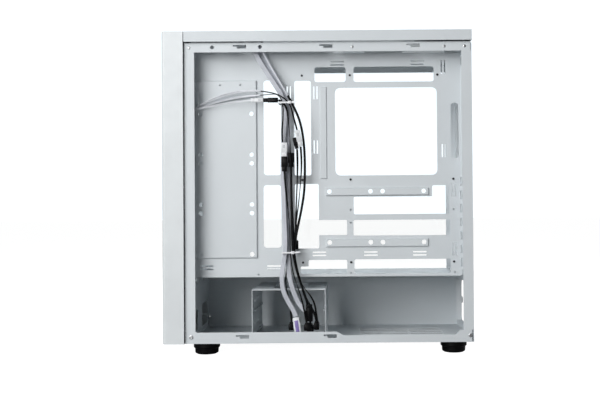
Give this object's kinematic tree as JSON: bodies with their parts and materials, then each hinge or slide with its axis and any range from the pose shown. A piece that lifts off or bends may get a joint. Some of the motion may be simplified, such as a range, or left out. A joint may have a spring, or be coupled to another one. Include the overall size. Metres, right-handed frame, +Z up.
{
  "type": "desktop computer tower case",
  "caption": "Open mid-tower computer case with glass side window, cable tray, drive cage, intake fans and front-panel cables.",
  "frame": {"origin": "on the floor under the centre of the case's bounding box", "axes": "+Z up, -Y front panel, +Y rear, +X cable side, -X glass side"},
  "size_m": [0.215, 0.466, 0.4775],
  "materials": {
    "steel_white": "fine matt white powder coat",
    "mesh_white": "fine matt white powder coat on perforated sheet",
    "plastic_white": "satin moulded",
    "fan_white": "satin moulded",
    "filter_mesh": "fine woven nylon",
    "foot_black": "satin moulded",
    "pad_rubber": "matt",
    "glass_clear": "clear tempered",
    "screw_steel": "zinc plated",
    "screw_white": "white coated, knurled",
    "standoff_steel": "black zinc plated, turned",
    "circuit_board": "solder resist",
    "button_grey": "satin",
    "cable_light": "satin flexible sheath",
    "cable_white": "satin flexible sheath",
    "cable_black": "satin flexible sheath",
    "plug_black": "moulded",
    "plug_white": "moulded",
    "tie_white": "nylon"
  },
  "bodies": {
    "root": {"bottom_pan": "steel_white", "front_frame": "steel_white", "rear_panel": "steel_white", "top_frame": "steel_white", "motherboard_tray": "steel_white", "psu_shroud": "steel_white", "hdd_cage": "steel_white", "slot_cover_1": "steel_white", "slot_cover_2": "steel_white", "slot_cover_3": "steel_white", "slot_cover_4": "steel_white", "slot_cover_5": "steel_white", "slot_cover_6": "steel_white", "slot_cover_7": "steel_white", "case_screws": "screw_steel", "frame_rivets": "screw_steel", "standoffs": "standoff_steel", "foot_front_right": "foot_black", "foot_front_left": "foot_black", "foot_rear_right": "foot_black", "foot_rear_left": "foot_black", "foot_pads": "pad_rubber", "fan_frame_1": "fan_white", "fan_frame_2": "fan_white", "fan_frame_3": "fan_white", "io_housing": "plastic_white", "io_board": "circuit_board", "type_c_cable": "cable_light", "usb_cable": "cable_light", "audio_cable": "cable_black", "switch_cable": "cable_black", "fan_lead_1": "cable_black", "fan_lead_2": "cable_black", "fan_lead_3": "cable_white", "splitter_wire_1": "cable_black", "splitter_wire_2": "cable_black", "splitter_wire_3": "cable_black", "splitter_wire_4": "cable_black", "splitter_wire_5": "cable_black", "usb_plug": "plug_black", "type_c_plug": "plug_white", "header_plugs": "plug_black", "fan_plugs": "plug_white", "splitter_sockets": "plug_black", "cable_ties": "tie_white"},
    "front_panel": {"front_bezel": "plastic_white", "front_mesh": "mesh_white", "front_filter": "filter_mesh"},
    "top_panel": {"top_cover": "steel_white", "top_filter": "filter_mesh"},
    "side_window": {"glass_panel": "glass_clear", "glass_frame": "steel_white", "glass_thumbscrews": "screw_white"},
    "psu_filter": {"psu_filter_frame": "plastic_white", "psu_filter_mesh": "filter_mesh"},
    "power_button": {"power_button": "button_grey"},
    "reset_button": {"reset_button": "button_grey"},
    "fan_1": {"fan_rotor_1": "fan_white"},
    "fan_2": {"fan_rotor_2": "fan_white"},
    "fan_3": {"fan_rotor_3": "fan_white"}
  },
  "joints": [
    {"name": "front_panel_pull", "type": "slide", "parent": "root", "child": "front_panel", "axis": [0, -1, 0], "range_m": [0, 0.06]},
    {"name": "top_panel_lift", "type": "slide", "parent": "root", "child": "top_panel", "axis": [0, 0, 1], "range_m": [0, 0.04]},
    {"name": "side_window_slide", "type": "slide", "parent": "root", "child": "side_window", "axis": [0, 1, 0], "range_m": [0, 0.012]},
    {"name": "psu_filter_slide", "type": "slide", "parent": "root", "child": "psu_filter", "axis": [0, 1, 0], "range_m": [0, 0.16]},
    {"name": "power_button_press", "type": "slide", "parent": "root", "child": "power_button", "axis": [0, 0, -1], "range_m": [0, 0.0012], "stiffness_N_per_m": 400, "springref_m": -0.002},
    {"name": "reset_button_press", "type": "slide", "parent": "root", "child": "reset_button", "axis": [0, 0, -1], "range_m": [0, 0.0012], "stiffness_N_per_m": 400, "springref_m": -0.002},
    {"name": "fan_1_spin", "type": "hinge", "parent": "root", "child": "fan_1", "pos_m": [0, -0.212, 0.397], "axis": [0, 1, 0], "continuous": true},
    {"name": "fan_2_spin", "type": "hinge", "parent": "root", "child": "fan_2", "pos_m": [0, -0.212, 0.276], "axis": [0, 1, 0], "continuous": true},
    {"name": "fan_3_spin", "type": "hinge", "parent": "root", "child": "fan_3", "pos_m": [0, -0.212, 0.155], "axis": [0, 1, 0], "continuous": true}
  ]
}
